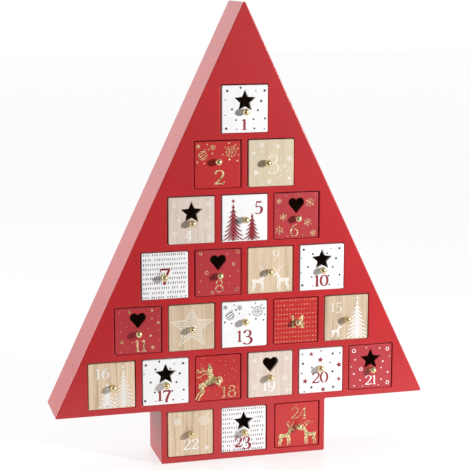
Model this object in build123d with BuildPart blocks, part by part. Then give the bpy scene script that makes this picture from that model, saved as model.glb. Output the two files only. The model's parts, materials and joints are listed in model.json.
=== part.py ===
"""Wooden advent calendar in the shape of a fir tree, with a small drawer for each day.

Millimetres. The front looks along -Y, +Z is up, and the origin is the middle of the trunk's
underside. The case is built of flat boards between a front and a back panel, and every drawer
is a glued box of five boards with a turned knob that a screw holds from inside.
"""

import os
from math import asin, atan, atan2, cos, hypot, pi, sin, sqrt

from build123d import *

# Drawers, counted from the top row down, with the trunk's row last
TREE_ROWS = (1, 2, 3, 4, 5, 6)
TRUNK_DRAWERS = 3

# Drawer front and tray
DRAWER_SIZE = 42.6
FRONT_BOARD = 3.0
FRONT_CORNER = 1.0
FRONT_EASE = 0.7
TRAY_BOARD = 2.5
TRAY_INSET = 0.4
TRAY_DROP = 2.0

# Room round a drawer
SIDE_GAP = 0.8
TOP_GAP = 0.9
DRAWER_LIFT = 0.3
STOP_GAP = 0.3
DRAWER_LEAN = 0.25
PROUD = 0.6
RECESS = 0.5

# Case boards
CASE_DEPTH = 52.0
FRONT_PANEL = 4.0
BACK_PANEL = 3.0
WALL = 4.5
BASE_BOARD = 6.1
TRUNK_FLOOR = 5.7
TRUNK_WALL = 5.3
SHELF = 4.0
DIVIDER = 4.5
MULLION = 5.5
TRUNK_MULLION = 7.4
HEADROOM = 2.7
TRUNK_HEADROOM = 2.4

# Distance from the upper corner of an end drawer out to the sloping edge
FIRST_ROW_MARGIN = 14.6
LAST_ROW_MARGIN = 8.2

# Rounding of the case
CORNER_RADIUS = 1.5
PANEL_EASE = 1.0
BACK_EASE = 0.5
OPENING_CORNER = 1.3
OPENING_EASE = 0.7

# Cut-outs in the drawer fronts: shares of the front's width, and the star's waist as a share of its radius
STAR_RADIUS_SHARE = 0.243
STAR_HEIGHT_SHARE = 0.164
STAR_WAIST_SHARE = 0.46
HEART_LOBE_SHARE = 0.093
HEART_SPREAD_SHARE = 0.0805
HEART_HEIGHT_SHARE = 0.29
HEART_TIP_SHARE = 0.046
CUT_OUT_EASE = 0.3

# Knob, its screw, and the places where a knob stands on its front, from the front's middle
KNOB_BALL = 3.2
KNOB_NECK = 1.7
KNOB_FOOT = 2.4
KNOB_FOOT_HEIGHT = 0.8
KNOB_STAND = 4.6
KNOB_LOW = -2.3
KNOB_MIDDLE = -1.0
KNOB_RAISED = 0.6
KNOB_HIGH = 2.9
KNOB_ASIDE = -4.0
KNOB_DRIFT = 1.1
SCREW_RADIUS = 1.2
SCREW_HEAD = 2.4
SCREW_HEAD_HEIGHT = 1.3
SCREW_GRIP = 3.6
SCREW_CLEARANCE = 0.1

# Brads that hold the back panel
PIN_RADIUS = 0.6
PIN_HEAD = 1.3
PIN_HEAD_HEIGHT = 0.5
PIN_LENGTH = 14.0
PIN_CLEARANCE = 0.05
PINS_PER_SLOPE = 5
PIN_FOOT_MARGIN = 30.0
PIN_APEX_MARGIN = 60.0
PIN_OVERHANG_SHARES = (0.25, 0.7)

# Each drawer's cut-out, its knob's place across and up, its seat in the opening, and its lean
STAR, HEART, PLAIN = "star", "heart", "plain"
LEFT, CENTRE, RIGHT = -1, 0, 1
DRAWERS = (
    (STAR, 0, KNOB_LOW, PROUD, RIGHT),
    (PLAIN, 0, KNOB_HIGH, -RECESS, CENTRE),
    (PLAIN, KNOB_ASIDE, KNOB_RAISED, PROUD, RIGHT),
    (STAR, 0, KNOB_LOW, PROUD, RIGHT),
    (PLAIN, 0, KNOB_MIDDLE, PROUD, RIGHT),
    (HEART, KNOB_DRIFT, KNOB_LOW, -RECESS, LEFT),
    (PLAIN, -KNOB_DRIFT, KNOB_MIDDLE, PROUD, RIGHT),
    (HEART, KNOB_DRIFT, KNOB_LOW, -RECESS, RIGHT),
    (PLAIN, -KNOB_DRIFT, KNOB_MIDDLE, PROUD, LEFT),
    (STAR, 0, KNOB_LOW, PROUD, CENTRE),
    (HEART, 0, KNOB_LOW, -RECESS, CENTRE),
    (PLAIN, 0, KNOB_MIDDLE, PROUD, LEFT),
    (PLAIN, 0, KNOB_HIGH, PROUD, CENTRE),
    (PLAIN, KNOB_DRIFT, KNOB_MIDDLE, -RECESS, CENTRE),
    (PLAIN, 0, KNOB_MIDDLE, PROUD, LEFT),
    (PLAIN, KNOB_DRIFT, KNOB_MIDDLE, PROUD, LEFT),
    (STAR, 0, KNOB_LOW, PROUD, CENTRE),
    (PLAIN, -KNOB_DRIFT, KNOB_LOW, -RECESS, CENTRE),
    (HEART, -KNOB_DRIFT, KNOB_LOW, PROUD, RIGHT),
    (PLAIN, -KNOB_DRIFT, KNOB_HIGH, PROUD, CENTRE),
    (STAR, KNOB_DRIFT, KNOB_LOW, -RECESS, CENTRE),
    (PLAIN, 0, KNOB_RAISED, -RECESS, RIGHT),
    (STAR, 0, KNOB_LOW, -RECESS, LEFT),
    (PLAIN, KNOB_DRIFT, KNOB_MIDDLE, -RECESS, CENTRE),
)

# Places that follow from the sizes above
front_y = -CASE_DEPTH / 2
back_y = CASE_DEPTH / 2
inner_front_y = front_y + FRONT_PANEL
inner_back_y = back_y - BACK_PANEL

opening_width = DRAWER_SIZE + 2 * SIDE_GAP
opening_height = DRAWER_LIFT + DRAWER_SIZE + TOP_GAP
column_pitch = opening_width + MULLION
trunk_pitch = opening_width + TRUNK_MULLION
row_pitch = DRAWER_LIFT + DRAWER_SIZE + HEADROOM + SHELF

trunk_height = TRUNK_FLOOR + DRAWER_LIFT + DRAWER_SIZE + TRUNK_HEADROOM
trunk_half = (TRUNK_DRAWERS - 1) / 2 * trunk_pitch + opening_width / 2 + TRUNK_WALL
base_top = trunk_height + BASE_BOARD
last_row = len(TREE_ROWS) - 1

star_radius = DRAWER_SIZE * STAR_RADIUS_SHARE
star_height = DRAWER_SIZE * STAR_HEIGHT_SHARE
heart_lobe = DRAWER_SIZE * HEART_LOBE_SHARE
heart_spread = DRAWER_SIZE * HEART_SPREAD_SHARE
heart_height = DRAWER_SIZE * HEART_HEIGHT_SHARE
heart_tip = DRAWER_SIZE * HEART_TIP_SHARE


def shelf_top(row):
    """Height of the board that carries the drawers of a tree row, row 0 being the top one."""
    return base_top + (last_row - row) * row_pitch


def drawer_top(row):
    """Height of the upper edge of the drawers in a tree row."""
    return shelf_top(row) + DRAWER_LIFT + DRAWER_SIZE


def row_reach(row):
    """Distance from the middle of a tree row to the outer edge of its end drawers."""
    return (TREE_ROWS[row] - 1) / 2 * column_pitch + DRAWER_SIZE / 2


# The sloping edges pass the end drawers of the first and the last row at the set margins
upper_x = row_reach(0) + FIRST_ROW_MARGIN
lower_x = row_reach(last_row) + LAST_ROW_MARGIN
taper = (lower_x - upper_x) / (drawer_top(0) - drawer_top(last_row))
apex_z = drawer_top(0) + upper_x / taper
slope = atan(taper)
wall_across = WALL / cos(slope)


def half_width(z):
    """Half of the tree's width at a height, out to the sloping edge."""
    return (apex_z - z) * taper


def inner_half_width(z):
    """Half of the clear width between the sloping walls at a height."""
    return half_width(z) - wall_across


def facing_front(x, y, z):
    """Plane at a point, looking out of the front: local x is +X and local y is +Z."""
    return Plane(origin=(x, y, z), x_dir=(1, 0, 0), z_dir=(0, -1, 0))


def drawer_places():
    """Middle x and lower z of every drawer, in the order of the days."""
    places = []
    for row, count in enumerate(TREE_ROWS):
        for column in range(count):
            places.append(((column - (count - 1) / 2) * column_pitch, shelf_top(row) + DRAWER_LIFT))
    for column in range(TRUNK_DRAWERS):
        places.append(((column - (TRUNK_DRAWERS - 1) / 2) * trunk_pitch, TRUNK_FLOOR + DRAWER_LIFT))
    return places


def pin_places():
    """Where the brads stand, as x and z, by the board that each one enters."""
    low = base_top + PIN_FOOT_MARGIN
    high = apex_z - PIN_APEX_MARGIN
    heights = [low + i * (high - low) / (PINS_PER_SLOPE - 1) for i in range(PINS_PER_SLOPE)]
    slope_line = [(half_width(z) - wall_across / 2, z) for z in heights]
    overhang = half_width(trunk_height) - trunk_half
    base_z = trunk_height + BASE_BOARD / 2
    base_line = [(trunk_half + overhang * share, base_z) for share in PIN_OVERHANG_SHARES]
    trunk_line = [(trunk_half - TRUNK_WALL / 2, trunk_height / 2)]
    floor_line = [(trunk_pitch, TRUNK_FLOOR / 2), (0, TRUNK_FLOOR / 2), (-trunk_pitch, TRUNK_FLOOR / 2)]
    return {
        "right_slope_wall": slope_line,
        "left_slope_wall": [(-x, z) for x, z in slope_line],
        "base_board": base_line + [(-x, z) for x, z in base_line],
        "trunk_right_wall": trunk_line,
        "trunk_left_wall": [(-x, z) for x, z in trunk_line],
        "trunk_floor": floor_line,
    }


pins = pin_places()
os.makedirs("parts", exist_ok=True)


def write(piece, name):
    """Names a finished piece and writes it as its own STEP file."""
    piece.label = name
    export_step(piece, f"parts/{name}.step")


def write_group(pieces, name):
    """Writes several loose pieces, which stay separate solids, under one name."""
    write(Compound(children=pieces), name)


# Outline of the tree and its trunk, shared by the panels and by the boards between them
with BuildSketch(Plane.XZ) as outline:
    with BuildLine():
        Polyline(
            (0, apex_z),
            (half_width(trunk_height), trunk_height),
            (trunk_half, trunk_height),
            (trunk_half, 0),
            (-trunk_half, 0),
            (-trunk_half, trunk_height),
            (-half_width(trunk_height), trunk_height),
            close=True,
        )
    make_face()
    fillet(outline.vertices(), CORNER_RADIUS)

# Clear space between the sloping walls, above the base board
with BuildSketch(Plane.XZ) as interior:
    with BuildLine():
        Polyline(
            (0, apex_z - wall_across / taper),
            (inner_half_width(base_top), base_top),
            (-inner_half_width(base_top), base_top),
            close=True,
        )
    make_face()

# Front panel: the tree with a square opening for every drawer
with BuildPart() as front_panel:
    with BuildSketch(facing_front(0, inner_front_y, 0)):
        add(outline.sketch_local)
        for x, z in drawer_places():
            with Locations((x, z - DRAWER_LIFT + opening_height / 2)):
                RectangleRounded(opening_width, opening_height, OPENING_CORNER, mode=Mode.SUBTRACT)
    extrude(amount=FRONT_PANEL)
    face = front_panel.faces().sort_by(Axis.Y)[0]
    rim = face.outer_wire().edges()
    openings = [edge for wire in face.inner_wires() for edge in wire.edges()]
    fillet(rim, PANEL_EASE)
    fillet(openings, OPENING_EASE)
write(front_panel.part, "front_panel")

# Back panel: the plain tree, bored and counterbored for the brads
with BuildPart() as back_panel:
    with BuildSketch(facing_front(0, back_y, 0)):
        add(outline.sketch_local)
    extrude(amount=BACK_PANEL)
    fillet(back_panel.faces().sort_by(Axis.Y)[-1].outer_wire().edges(), BACK_EASE)
    with BuildSketch(facing_front(0, back_y, 0)):
        for places in pins.values():
            with Locations(*places):
                Circle(PIN_RADIUS + PIN_CLEARANCE)
    extrude(amount=BACK_PANEL, mode=Mode.SUBTRACT)
    with BuildSketch(facing_front(0, back_y, 0)):
        for places in pins.values():
            with Locations(*places):
                Circle(PIN_HEAD + PIN_CLEARANCE)
    extrude(amount=PIN_HEAD_HEIGHT + PIN_CLEARANCE, mode=Mode.SUBTRACT)
write(back_panel.part, "back_panel")


def case_board(name, x0, x1, z0, z1):
    """A board of the case's skin: what the outline leaves of a rectangle, less the clear space inside."""
    with BuildPart() as board:
        with BuildSketch(facing_front(0, inner_back_y, 0)):
            add(outline.sketch_local)
            add(interior.sketch_local, mode=Mode.SUBTRACT)
            with Locations(((x0 + x1) / 2, (z0 + z1) / 2)):
                Rectangle(x1 - x0, z1 - z0, mode=Mode.INTERSECT)
        extrude(amount=inner_back_y - inner_front_y)
        with BuildSketch(facing_front(0, inner_back_y, 0)):
            with Locations(*pins[name]):
                Circle(PIN_RADIUS + PIN_CLEARANCE)
        extrude(amount=PIN_LENGTH, mode=Mode.SUBTRACT)
    write(board.part, name)


reach = half_width(trunk_height)
case_board("left_slope_wall", -reach, 0, base_top, apex_z)
case_board("right_slope_wall", 0, reach, base_top, apex_z)
case_board("base_board", -reach, reach, trunk_height, base_top)
case_board("trunk_left_wall", -trunk_half, -trunk_half + TRUNK_WALL, 0, trunk_height)
case_board("trunk_right_wall", trunk_half - TRUNK_WALL, trunk_half, 0, trunk_height)
case_board("trunk_floor", -trunk_half + TRUNK_WALL, trunk_half - TRUNK_WALL, 0, TRUNK_FLOOR)


def inner_board(x0, x1, z0, z1, trimmed):
    """A board between the panels, trimmed to the sloping walls where it meets them."""
    with BuildPart() as board:
        with BuildSketch(facing_front(0, inner_back_y, 0)):
            with Locations(((x0 + x1) / 2, (z0 + z1) / 2)):
                Rectangle(x1 - x0, z1 - z0)
            if trimmed:
                add(interior.sketch_local, mode=Mode.INTERSECT)
        extrude(amount=inner_back_y - inner_front_y)
    return board.part


# Shelves: one over the first row, and one under every row that doesn't stand on the base board
shelf_tops = [shelf_top(0) + row_pitch] + [shelf_top(row) for row in range(last_row)]
shelves = [inner_board(-reach, reach, top - SHELF, top, True) for top in shelf_tops]
write_group(shelves, "shelves")

# Dividers between neighbouring drawers, from shelf to shelf
dividers = []
for row, count in enumerate(TREE_ROWS):
    for gap in range(count - 1):
        middle = (gap + 1 - count / 2) * column_pitch
        low, high = shelf_top(row), shelf_top(row) + row_pitch - SHELF
        dividers.append(inner_board(middle - DIVIDER / 2, middle + DIVIDER / 2, low, high, False))
for gap in range(TRUNK_DRAWERS - 1):
    middle = (gap + 1 - TRUNK_DRAWERS / 2) * trunk_pitch
    dividers.append(
        inner_board(middle - DIVIDER / 2, middle + DIVIDER / 2, TRUNK_FLOOR, trunk_height, False)
    )
write_group(dividers, "dividers")

# End guides: the uprights outside the end drawers, cut to the slope
end_guides = []
for row in range(len(TREE_ROWS)):
    near = row_reach(row) + SIDE_GAP
    low, high = shelf_top(row), shelf_top(row) + row_pitch - SHELF
    end_guides.append(inner_board(-near - DIVIDER, -near, low, high, True))
    end_guides.append(inner_board(near, near + DIVIDER, low, high, True))
write_group(end_guides, "end_guides")


def back_pin(x, z):
    """A brad with its head sunk level with the back."""
    with BuildPart() as pin:
        with BuildSketch(facing_front(x, back_y, z)):
            Circle(PIN_HEAD)
        extrude(amount=PIN_HEAD_HEIGHT)
        with BuildSketch(facing_front(x, back_y - PIN_HEAD_HEIGHT, z)):
            Circle(PIN_RADIUS)
        extrude(amount=PIN_LENGTH)
    return pin.part


write_group([back_pin(x, z) for places in pins.values() for x, z in places], "back_pins")


def star_points():
    """Corners of a five-pointed star."""
    turns = [pi / 2 + i * pi / 5 for i in range(10)]
    radii = [star_radius, star_radius * STAR_WAIST_SHARE] * 5
    return [(r * cos(a), star_height + r * sin(a)) for r, a in zip(radii, turns)]


def heart_curves():
    """Draws a heart: two round lobes, with straight sides that leave them and meet in the tip."""
    rise = heart_height - heart_tip
    line = hypot(heart_spread, rise)
    angle = atan2(rise, heart_spread) - asin(heart_lobe / line)
    side = sqrt(line**2 - heart_lobe**2)
    touch = (side * cos(angle), heart_tip + side * sin(angle))
    dip = (0, heart_height + sqrt(heart_lobe**2 - heart_spread**2))
    over = (heart_spread + heart_lobe * cos(pi / 4), heart_height + heart_lobe * sin(pi / 4))
    ThreePointArc(dip, over, touch)
    Line(touch, (0, heart_tip))
    Line((0, heart_tip), (-touch[0], touch[1]))
    ThreePointArc((-touch[0], touch[1]), (-over[0], over[1]), dip)


def drawer_front(x, face_y, low, cut_out, knob_place):
    """The square front, with its cut-out and the hole for the knob's screw."""
    with BuildPart() as front:
        with BuildSketch(facing_front(x, face_y + FRONT_BOARD, low + DRAWER_SIZE / 2)):
            RectangleRounded(DRAWER_SIZE, DRAWER_SIZE, FRONT_CORNER)
            if cut_out == STAR:
                Polygon(*star_points(), align=None, mode=Mode.SUBTRACT)
            if cut_out == HEART:
                with BuildLine():
                    heart_curves()
                make_face(mode=Mode.SUBTRACT)
            with Locations(knob_place):
                Circle(SCREW_RADIUS + SCREW_CLEARANCE, mode=Mode.SUBTRACT)
        extrude(amount=FRONT_BOARD)
        face = front.faces().sort_by(Axis.Y)[0]
        rim = face.outer_wire().edges()
        holes = [wire.edges() for wire in face.inner_wires() if len(wire.edges()) > 1]
        fillet(rim, FRONT_EASE)
        for hole in holes:
            chamfer(hole, CUT_OUT_EASE)
    return front.part


def tray_board(x0, x1, y0, y1, z0, z1):
    """One flat board of a drawer's tray."""
    with BuildPart() as board:
        with BuildSketch(Plane.XY.offset(z0)):
            with Locations(((x0 + x1) / 2, (y0 + y1) / 2)):
                Rectangle(x1 - x0, y1 - y0)
        extrude(amount=z1 - z0)
    return board.part


def drawer_tray(x, face_y, low):
    """The two sides, the back and the floor behind a drawer's front."""
    half = DRAWER_SIZE / 2 - TRAY_INSET
    near, far = face_y + FRONT_BOARD, inner_back_y - STOP_GAP
    high = low + DRAWER_SIZE - TRAY_DROP
    left, right = x - half, x + half
    return [
        tray_board(left, left + TRAY_BOARD, near, far, low, high),
        tray_board(right - TRAY_BOARD, right, near, far, low, high),
        tray_board(left + TRAY_BOARD, right - TRAY_BOARD, far - TRAY_BOARD, far, low, high),
        tray_board(left + TRAY_BOARD, right - TRAY_BOARD, near, far - TRAY_BOARD, low, low + TRAY_BOARD),
    ]


def knob(x, face_y, z):
    """A turned ball on a waisted neck and a small foot, bored from behind for its screw."""
    meet = -KNOB_STAND + sqrt(KNOB_BALL**2 - KNOB_NECK**2)
    waist = (meet - KNOB_FOOT_HEIGHT) / 2
    bore = SCREW_RADIUS + SCREW_CLEARANCE
    bore_end = -(SCREW_GRIP + SCREW_CLEARANCE)
    with BuildPart() as turned:
        with BuildSketch(Plane(origin=(x, face_y, z), x_dir=(1, 0, 0), z_dir=(0, 0, 1))):
            with BuildLine():
                Polyline((0, bore_end), (bore, bore_end), (bore, 0), (KNOB_FOOT, 0))
                Line((KNOB_FOOT, 0), (KNOB_FOOT, -KNOB_FOOT_HEIGHT))
                Polyline((KNOB_FOOT, -KNOB_FOOT_HEIGHT), (KNOB_NECK, waist), (KNOB_NECK, meet))
                ThreePointArc((KNOB_NECK, meet), (KNOB_BALL, -KNOB_STAND), (0, -KNOB_STAND - KNOB_BALL))
                Line((0, -KNOB_STAND - KNOB_BALL), (0, bore_end))
            make_face()
        revolve(axis=Axis((x, face_y, z), (0, 1, 0)))
    return turned.part


def knob_screw(x, face_y, z):
    """The screw whose head bears on the inside of the front and whose shank enters the knob."""
    with BuildPart() as screw:
        with BuildSketch(facing_front(x, face_y + FRONT_BOARD + SCREW_HEAD_HEIGHT, z)):
            Circle(SCREW_HEAD)
        extrude(amount=SCREW_HEAD_HEIGHT)
        with BuildSketch(facing_front(x, face_y + FRONT_BOARD, z)):
            Circle(SCREW_RADIUS)
        extrude(amount=FRONT_BOARD + SCREW_GRIP)
    return screw.part


# Drawers and their knobs, numbered by day
for day, (place, design) in enumerate(zip(drawer_places(), DRAWERS), start=1):
    cut_out, aside, up, seat, lean = design
    x, low = place[0] + lean * DRAWER_LEAN, place[1]
    face_y = front_y - seat
    front = drawer_front(x, face_y, low, cut_out, (aside, up))
    write_group([front] + drawer_tray(x, face_y, low), f"drawer_{day:02d}")
    knob_x, knob_z = x + aside, low + DRAWER_SIZE / 2 + up
    write_group([knob(knob_x, face_y, knob_z), knob_screw(knob_x, face_y, knob_z)], f"knob_{day:02d}")

print(f"tree {2 * reach:.1f} wide and {apex_z:.1f} high before its corners are rounded")
print(f"trunk {2 * trunk_half:.1f} wide and {trunk_height:.1f} high, case {CASE_DEPTH:.1f} deep")
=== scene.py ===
import json
from math import cos, hypot, pi, radians, sin
from random import Random

import bmesh
import bpy
from bpy.props import FloatProperty, FloatVectorProperty, PointerProperty
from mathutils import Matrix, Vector


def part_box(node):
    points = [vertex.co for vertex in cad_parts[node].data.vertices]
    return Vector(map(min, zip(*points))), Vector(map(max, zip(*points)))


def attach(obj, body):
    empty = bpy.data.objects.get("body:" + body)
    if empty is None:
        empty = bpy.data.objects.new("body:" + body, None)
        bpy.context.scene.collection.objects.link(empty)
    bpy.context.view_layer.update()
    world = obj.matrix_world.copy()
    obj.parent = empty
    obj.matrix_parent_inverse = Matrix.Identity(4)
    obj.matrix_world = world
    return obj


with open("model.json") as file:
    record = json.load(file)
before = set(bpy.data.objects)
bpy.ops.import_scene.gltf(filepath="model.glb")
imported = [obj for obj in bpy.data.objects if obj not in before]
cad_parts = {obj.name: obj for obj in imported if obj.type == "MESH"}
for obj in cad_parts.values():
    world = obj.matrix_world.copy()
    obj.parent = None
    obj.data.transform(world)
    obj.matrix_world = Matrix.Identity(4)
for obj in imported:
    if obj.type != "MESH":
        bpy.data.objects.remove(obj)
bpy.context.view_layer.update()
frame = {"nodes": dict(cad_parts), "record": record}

bl_info = {
    "name": "Advent Calendar Tree",
    "version": (1, 0, 0),
    "blender": (4, 5, 0),
    "location": "3D View > Sidebar > Advent",
    "description": "Paints, prints and lights a wooden advent calendar in the shape of a fir tree",
    "category": "Object",
}

MM = 0.001
DAYS = range(1, 25)
FRONT_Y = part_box("front_panel")[0].y

# Finish of every node, as the record names it
NODE_SLOTS = {part["node"]: part["material_slot"] for part in frame["record"]["subparts"]}

# Boards of the case, and those that only show when a drawer is out
CASE_NODES = (
    "front_panel",
    "back_panel",
    "left_slope_wall",
    "right_slope_wall",
    "base_board",
    "trunk_left_wall",
    "trunk_right_wall",
    "trunk_floor",
)
INNER_NODES = ("shelves", "dividers", "end_guides")

# Days whose front has a cut-out
STAR_DAYS = (1, 4, 10, 17, 21, 23)
HEART_DAYS = (6, 8, 11, 19)

# Wooden fronts that differ from the others, and the shades of the light and the dark grain of some
CREAM_DAYS = (3,)
WASHED_DAYS = (4, 19)
# Partly painted shade and painted light: the first factor darkens 15, which the key lamp lights most, and
# lightens 16; the rest is board-to-board tone and the grain's contrast
WOOD_TONE_AND_PAINTED_LIGHT = {12: (0.95, 0.95), 15: (0.90, 0.56), 16: (1.15, 0.84), 22: (1.04, 0.78)}
PLAIN_SHADES = (1.0, 1.0)


def drawer_node(day):
    """Name of a day's drawer."""
    return f"drawer_{day:02d}"


def drawer_body(day):
    """Name of the body that a day's drawer and knob belong to."""
    return f"drawer_{day:02d}_body"


def face_centre(day):
    """Middle of a drawer's front face."""
    low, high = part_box(drawer_node(day))
    return Vector(((low.x + high.x) / 2, low.y, (low.z + high.z) / 2))


# Settings that a user would change


def colour(name, description, tone):
    """A colour setting, as linear red, green and blue."""
    return FloatVectorProperty(
        name=name, description=description, default=tone, subtype="COLOR", size=3, min=0.0, max=1.0
    )


def amount(name, description, value, **kind):
    """A setting that is one number."""
    return FloatProperty(name=name, description=description, default=value, **kind)


def share(name, description, value):
    """A setting between none and all."""
    return amount(name, description, value, min=0.0, max=1.0, subtype="FACTOR")


def length(name, description, metres, low=0.0):
    """A length setting, in metres."""
    return amount(name, description, metres, min=low, unit="LENGTH", precision=5)


def angle(name, description, degrees):
    """An angle setting, given in degrees."""
    return amount(name, description, radians(degrees), unit="ROTATION")


def power(name, description, watts):
    """A setting for the power of a lamp."""
    return amount(name, description, watts, min=0.0, unit="POWER")


class AdventFinish(bpy.types.PropertyGroup):
    """Paints, woods and metals."""

    red: colour("Red lacquer", "Colour of the case", (0.49, 0.019, 0.023))
    red_front: colour("Red front", "Colour of the red drawer fronts", (0.515, 0.014, 0.014))
    berry: colour("Berry front", "Colour of the red fronts with a cut-out", (0.46, 0.029, 0.040))
    white: colour("White paint", "Colour of the white fronts", (0.91, 0.905, 0.91))
    wood: colour("Natural wood", "Light tone of the wooden fronts", (0.70, 0.55, 0.39))
    wood_dark: colour("Wood grain", "Dark tone of the wooden fronts", (0.50, 0.35, 0.21))
    cream: colour("Cream wood", "Light tone of the pale fronts", (0.67, 0.57, 0.41))
    cream_dark: colour("Cream grain", "Dark tone of the pale fronts", (0.56, 0.44, 0.29))
    washed: colour("Washed wood", "Light tone of the whitewashed fronts", (0.73, 0.62, 0.54))
    washed_dark: colour("Washed grain", "Dark tone of the whitewashed fronts", (0.56, 0.44, 0.37))
    # Partly painted shade: the raw board is set a little darker than bare board, so that the tray seen
    # through the cut-outs reads dark
    board: colour("Raw board", "Light tone of the unpainted boards inside", (0.50, 0.37, 0.24))
    board_dark: colour("Raw board fibres", "Dark tone of the unpainted boards inside", (0.38, 0.27, 0.17))
    brass: colour("Brass", "Colour of the knobs", (0.77, 0.65, 0.36))
    steel: colour("Steel", "Colour of the brads", (0.55, 0.55, 0.56))
    red_gloss: share("Lacquer roughness", "Roughness of the red lacquer under its clear coat", 0.38)
    red_specular: share("Lacquer specular", "Specular level of the red lacquer under its clear coat", 0.12)
    coat: share("Clear coat", "Weight of the clear coat on the case", 1.0)
    front_coat: share("Front coat", "Weight of the clear coat on the red fronts", 0.5)
    coat_roughness: share("Coat roughness", "Roughness of the clear coat", 0.25)


class AdventPrint(bpy.types.PropertyGroup):
    """Numbers and ornaments on the fronts."""

    thickness: length("Ink thickness", "How far the ink stands on the front", 0.06 * MM)
    sink: length("Ink sink", "How far the ink reaches into the front", 0.02 * MM)
    red: colour("Red ink", "Colour of the red numbers and ornaments", (0.28, 0.004, 0.015))
    grey: colour("Grey ink", "Colour of the fine line work", (0.022, 0.02, 0.025))
    white: colour("White ink", "Colour of the bold prints on wood and red", (0.90, 0.90, 0.89))
    pale: colour("Pale ink", "Colour of the thin white prints on wood", (0.86, 0.80, 0.73))
    gold: colour("Gold glitter", "Colour of the prints on red", (0.68, 0.53, 0.27))


class AdventStage(bpy.types.PropertyGroup):
    """Floor, light and camera."""

    floor_size: length("Floor size", "Side of the square floor", 12.0)
    floor_colour: colour("Floor", "Colour of the floor", (0.88, 0.88, 0.88))
    # Painted shade: the dark colour that the floor in front takes in reflections and bounced light, standing
    # for the dim room
    dark_colour: colour("Far floor", "Colour of the floor in the dim room in front", (0.03, 0.03, 0.03))
    floor_white: share("Floor white", "How much of the floor's white does not depend on the lamps", 0.58)
    floor_glow: amount("Floor glow", "Brightness of that white", 1.12)
    front_light: amount("Front light", "Strength of the room in front", 0.26)
    back_light: amount("Back light", "Strength of the backdrop", 1.0)
    key_power: power("Key power", "Power of the key lamp", 10.9)
    key_size: length("Key size", "Side of the square key lamp", 0.10)
    key_distance: length("Key distance", "From the middle of the tree to the key lamp", 1.0)
    key_yaw: angle("Key direction", "Turn of the key lamp to the right", 46)
    key_rise: angle("Key height", "Rise of the key lamp above level", 12)
    fill_power: power("Fill power", "Power of the fill lamp", 12.5)
    fill_size: length("Fill size", "Side of the square fill lamp", 0.45)
    fill_distance: length("Fill distance", "From the middle of the tree to the fill lamp", 1.5)
    fill_yaw: angle("Fill direction", "Turn of the fill lamp to the right", -102)
    fill_rise: angle("Fill height", "Rise of the fill lamp above level", 10)
    target_x: length("Target across", "Where the camera looks, to the right of the middle", -8.8 * MM, -1.0)
    target_z: length("Target up", "Where the camera looks, above the floor", 212.2 * MM)
    distance: length("Camera distance", "From the target to the camera", 1315.0 * MM)
    lens: amount("Lens", "Focal length in millimetres", 110.8)
    yaw: angle("Camera direction", "Turn of the camera to the right", -14.97)
    rise: angle("Camera height", "Rise of the camera above level", 10.59)


class AdventSettings(bpy.types.PropertyGroup):
    """All settings of the calendar."""

    finish: PointerProperty(type=AdventFinish)
    ink: PointerProperty(type=AdventPrint)
    stage: PointerProperty(type=AdventStage)


def settings():
    """The settings kept in the scene."""
    return bpy.context.scene.advent_calendar


# Shader building blocks


class NodeKit:
    """The nodes of a material or of the world, with short calls for those used here."""

    def __init__(self, owner):
        owner.use_nodes = True
        self.nodes = owner.node_tree.nodes
        self.links = owner.node_tree.links
        self.nodes.clear()

    def feed(self, socket, value):
        """Links a socket to another node's output, or sets it to a value."""
        if isinstance(value, bpy.types.NodeSocket):
            self.links.new(value, socket)
        elif socket.type == "RGBA":
            socket.default_value = (*value, 1.0)
        else:
            socket.default_value = value

    def add(self, kind, sockets=None, **options):
        """A new node with its options set and its sockets fed, by name or by place."""
        node = self.nodes.new(f"ShaderNode{kind}")
        for name, option in options.items():
            setattr(node, name, option)
        for place, value in (sockets or {}).items():
            self.feed(node.inputs[place], value)
        return node

    def span(self, value, start, end, low=0.0, high=1.0):
        """A value moved from one range to another, and held at the ends of it."""
        sockets = {"Value": value, "From Min": start, "From Max": end, "To Min": low, "To Max": high}
        return self.add("MapRange", sockets).outputs["Result"]

    def between(self, pattern, low, high):
        """A pattern of nought to one, moved to lie between two values."""
        return self.span(pattern, 0.0, 1.0, low, high)

    def math(self, operation, first, second):
        """What an operation makes of two values."""
        return self.add("Math", {0: first, 1: second}, operation=operation).outputs["Value"]

    # The sockets of a Mix node have the same names for numbers and colours, so they go by place

    def mix(self, factor, first, second):
        """A blend of two colours."""
        return self.add("Mix", {0: factor, 6: first, 7: second}, data_type="RGBA").outputs[2]

    def mix_values(self, factor, first, second):
        """A blend of two numbers."""
        return self.add("Mix", {0: factor, 2: first, 3: second}, data_type="FLOAT").outputs[0]

    def axis(self, vector, name):
        """One coordinate of a vector."""
        return self.add("SeparateXYZ", {"Vector": vector}).outputs[name]


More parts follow.
